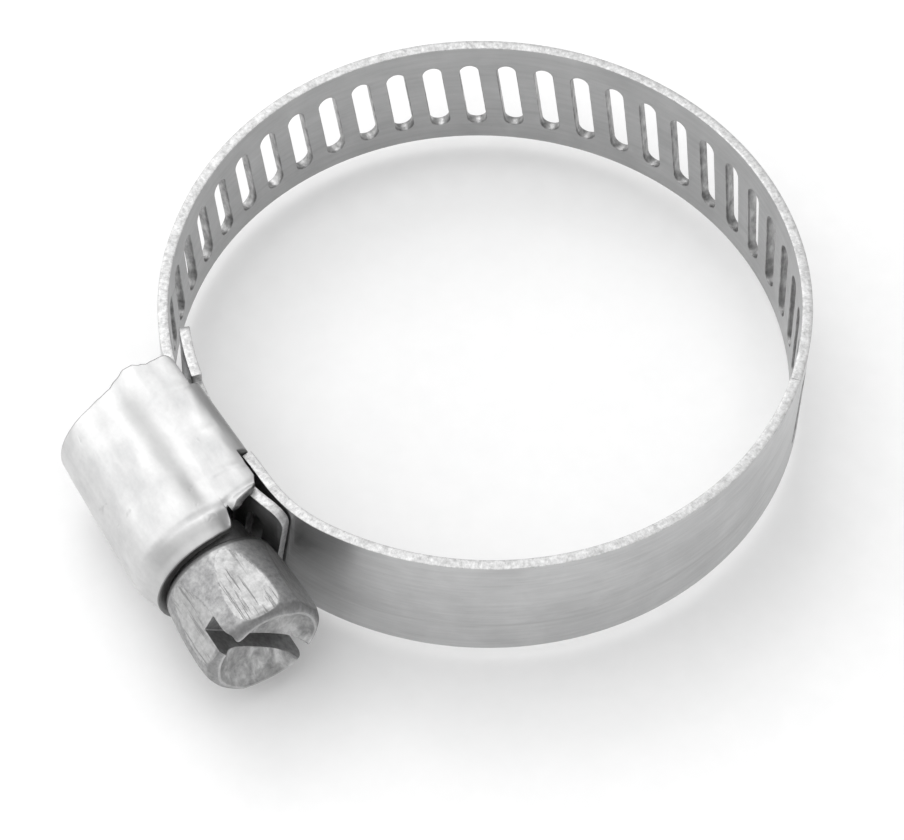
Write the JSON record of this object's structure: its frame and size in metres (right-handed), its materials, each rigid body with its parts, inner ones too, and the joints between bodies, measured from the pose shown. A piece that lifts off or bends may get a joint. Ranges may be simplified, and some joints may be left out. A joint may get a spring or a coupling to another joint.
{
  "type": "hose clamp",
  "caption": "Worm-drive hose clamp: a slotted steel band that a slotted hex-head screw in a folded housing draws tight round a hose.",
  "frame": {"origin": "centre of the ring, half way across the band's width", "axes": "+Z along the axis of the hose the ring closes on; the housing is at -Y; the screw lies along X with its head at +X"},
  "size_m": [0.0354, 0.0419, 0.0094],
  "materials": {
    "band_steel": "satin rolled stainless strip with sheared bright edges",
    "housing_steel": "bright, softly matt stamped stainless sheet",
    "screw_steel": "dull grey plated steel with a fine grain and tool scratches on the flats"
  },
  "bodies": {
    "housing": {"housing": "housing_steel", "band_fixed_end": "band_steel"},
    "screw": {"worm_screw": "screw_steel"},
    "feed_run": {"band_feed_run": "band_steel"},
    "slotted_1": {"band_slotted_arc_1": "band_steel"},
    "slotted_2": {"band_slotted_arc_2": "band_steel"},
    "slotted_3": {"band_slotted_arc_3": "band_steel"},
    "slotted_4": {"band_slotted_arc_4": "band_steel"},
    "plain_1": {"band_plain_arc_1": "band_steel"},
    "plain_2": {"band_plain_arc_2": "band_steel"}
  },
  "joints": [
    {"name": "screw_turn", "type": "hinge", "parent": "housing", "child": "screw", "pos_m": [0, -0.02024, 0], "axis": [-1, 0, 0], "range_deg": [-360, 1080]},
    {"name": "band_feed", "type": "hinge", "parent": "housing", "child": "feed_run", "pos_m": [0.00048, 0.00007, 0], "axis": [0, 0, 1], "range_deg": [-7.03, 20.96]},
    {"name": "band_flex_1", "type": "hinge", "parent": "feed_run", "child": "slotted_1", "pos_m": [-0.01209, -0.01252, 0], "axis": [0, 0, 1], "range_deg": [-3.82, 1.31]},
    {"name": "band_flex_2", "type": "hinge", "parent": "slotted_1", "child": "slotted_2", "pos_m": [-0.01735, -0.00096, 0], "axis": [0, 0, 1], "range_deg": [-2.05, 0.72]},
    {"name": "band_flex_3", "type": "hinge", "parent": "slotted_2", "child": "slotted_3", "pos_m": [-0.01189, 0.01267, 0], "axis": [0, 0, 1], "range_deg": [-2.94, 1.02]},
    {"name": "band_flex_4", "type": "hinge", "parent": "slotted_3", "child": "slotted_4", "pos_m": [0.00205, 0.01726, 0], "axis": [0, 0, 1], "range_deg": [-4.17, 1.43]},
    {"name": "band_flex_5", "type": "hinge", "parent": "housing", "child": "plain_1", "pos_m": [0.00947, -0.01458, 0], "axis": [0, 0, 1], "range_deg": [-0.9, 2.58]},
    {"name": "band_flex_6", "type": "hinge", "parent": "plain_1", "child": "plain_2", "pos_m": [0.01706, -0.00332, 0], "axis": [0, 0, 1], "range_deg": [-1.59, 4.65]}
  ],
  "couplings": [
    {"joint": "band_feed", "follows": "screw_turn", "ratio": 0.019355},
    {"joint": "band_flex_1", "follows": "screw_turn", "ratio": -0.0034794},
    {"joint": "band_flex_2", "follows": "screw_turn", "ratio": -0.0018456},
    {"joint": "band_flex_3", "follows": "screw_turn", "ratio": -0.0026681},
    {"joint": "band_flex_4", "follows": "screw_turn", "ratio": -0.0038081},
    {"joint": "band_flex_5", "follows": "screw_turn", "ratio": 0.0023325},
    {"joint": "band_flex_6", "follows": "screw_turn", "ratio": 0.0042503}
  ]
}
